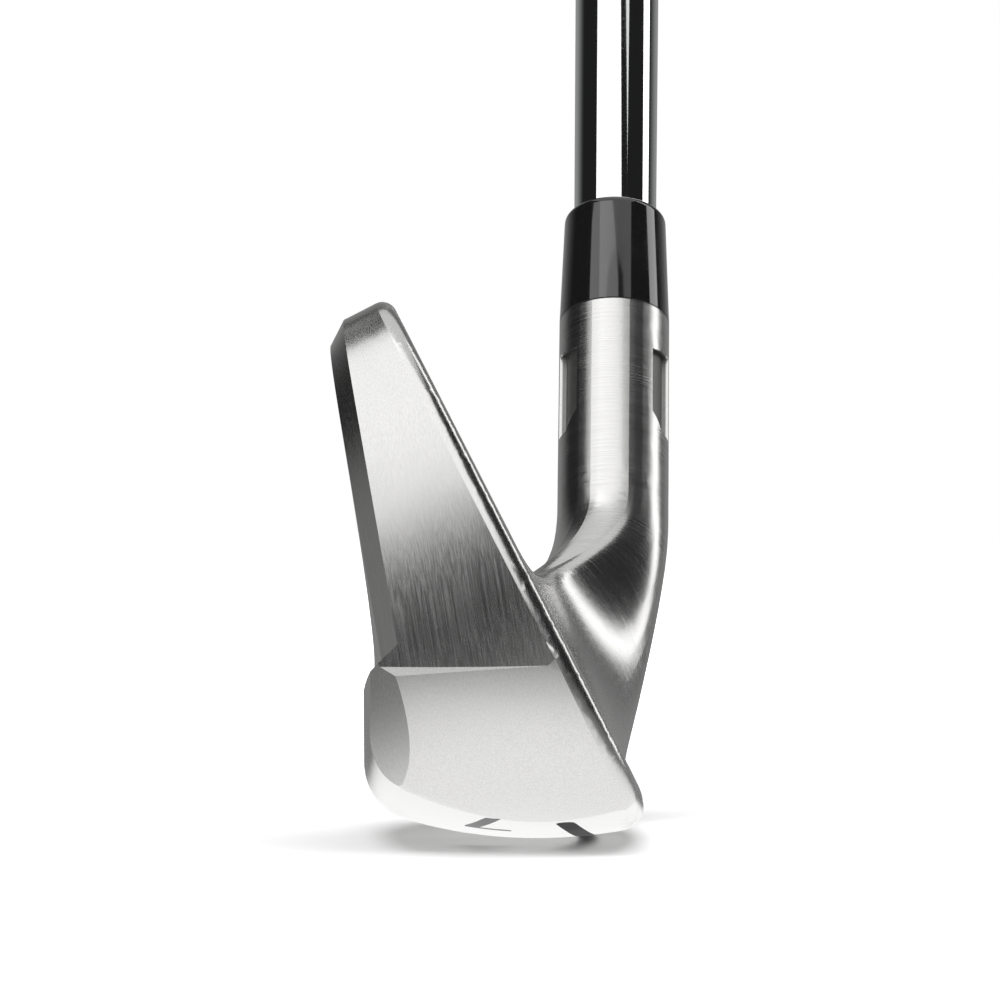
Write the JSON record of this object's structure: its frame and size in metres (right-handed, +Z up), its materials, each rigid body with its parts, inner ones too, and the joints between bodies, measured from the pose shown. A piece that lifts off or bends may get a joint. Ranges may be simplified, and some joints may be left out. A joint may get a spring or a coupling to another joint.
{
  "type": "iron golf club",
  "caption": "Right-handed seven iron: hollow steel head with curved neck, black ferrule, stepped chrome shaft and tapered rubber grip.",
  "frame": {"origin": "point of the sole that touches the ground with the club at address", "axes": "+X the target direction, out of the face's side; +Y from toe to heel; +Z up. The shaft leans 62 degrees to the ground in a plane parallel to YZ"},
  "size_m": [0.0433, 0.5313, 0.8354],
  "materials": {
    "cast_steel": "nickel-toned satin, brushed",
    "forged_steel": "satin with milled score lines",
    "foam": "closed-cell foam",
    "tungsten": "sintered, dark grey",
    "slot_polymer": "matte black elastomer",
    "black_enamel": "black paint fill",
    "badge_aluminium": "plain anodised plate, blank",
    "epoxy": "cured adhesive",
    "ferrule_plastic": "polished black",
    "chrome_steel": "chrome plated, mirror",
    "brass_weight": "turned",
    "tape": "masking-type tape",
    "grip_rubber": "moulded, textured"
  },
  "bodies": {
    "root": {"head_body": "cast_steel", "face_plate": "forged_steel", "foam_core": "foam", "toe_weight": "tungsten", "slot_insert": "slot_polymer", "sole_number_fill": "black_enamel", "back_badge": "badge_aluminium", "foam_port_plug": "cast_steel", "hosel_epoxy": "epoxy", "ferrule": "ferrule_plastic", "shaft": "chrome_steel", "tip_weight": "brass_weight", "grip_tape": "tape", "grip": "grip_rubber", "grip_cap": "grip_rubber"}
  },
  "joints": []
}
